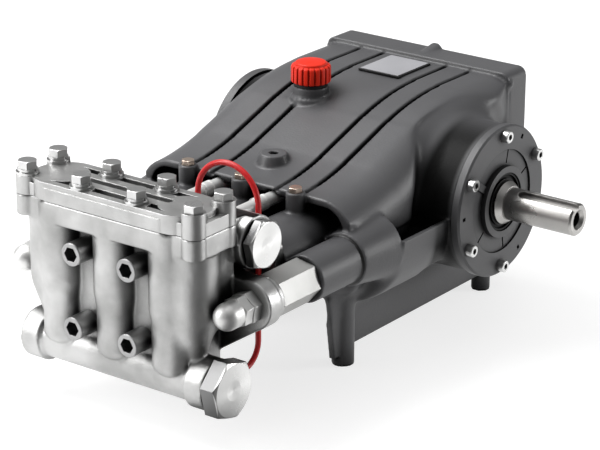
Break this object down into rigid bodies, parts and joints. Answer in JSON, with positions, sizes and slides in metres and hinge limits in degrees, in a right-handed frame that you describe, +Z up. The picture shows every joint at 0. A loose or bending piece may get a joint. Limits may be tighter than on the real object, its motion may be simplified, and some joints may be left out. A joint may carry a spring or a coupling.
{
  "type": "high-pressure plunger pump",
  "caption": "High-pressure triplex plunger pump with a stainless valve manifold, a dark cast crankcase, a keyed drive shaft and threaded feet.",
  "frame": {"origin": "centre of the pattern of threaded feet, on the plane the feet stand on", "axes": "+X along the crankshaft towards the drive end, +Y from the valve manifold towards the rear cover, +Z up"},
  "size_m": [0.4416, 0.5977, 0.276],
  "materials": {
    "cast_black": "satin dark grey casting paint",
    "cover_black": "satin dark grey paint",
    "screw_zinc": "bright zinc plated",
    "seal_rubber": "matt black",
    "shaft_steel": "polished",
    "cap_red": "gloss red orange",
    "plate_white": "blank plate",
    "bolt_brass": "yellow passivated steel look",
    "cast_stainless": "bead blasted stainless",
    "machined_stainless": "turned faces",
    "plunger_ceramic": "smooth",
    "sight_glass": "amber oil behind a clear window",
    "tube_red": "gloss red"
  },
  "bodies": {
    "pump": {"crankcase": "cast_black", "rear_cover": "cover_black", "rear_cover_screws": "screw_zinc", "oil_sight_glass": "sight_glass", "oil_drain_plug": "screw_zinc", "drive_bearing_cover": "cover_black", "blind_bearing_cover": "cover_black", "bearing_cover_screws": "screw_zinc", "shaft_oil_seal": "seal_rubber", "filler_cap": "cap_red", "filler_gasket": "seal_rubber", "name_plate": "plate_white", "name_plate_base": "seal_rubber", "hood_bolts": "bolt_brass", "valve_manifold": "cast_stainless", "valve_cover": "cast_stainless", "cover_bolts": "screw_zinc", "cover_washers": "screw_zinc", "manifold_screws": "cast_stainless", "suction_plug": "machined_stainless", "discharge_plug": "machined_stainless", "plug_seals": "seal_rubber", "lug_nuts": "machined_stainless", "lug_spacers": "machined_stainless", "packing_block": "cast_stainless", "upper_rods": "machined_stainless", "plungers": "plunger_ceramic", "leak_tube": "tube_red", "tube_fittings": "machined_stainless"},
    "shaft": {"crankshaft": "shaft_steel"}
  },
  "joints": [
    {"name": "crankshaft_spin", "type": "hinge", "parent": "pump", "child": "shaft", "pos_m": [0, 0.0397, 0.1486], "axis": [1, 0, 0], "continuous": true}
  ]
}
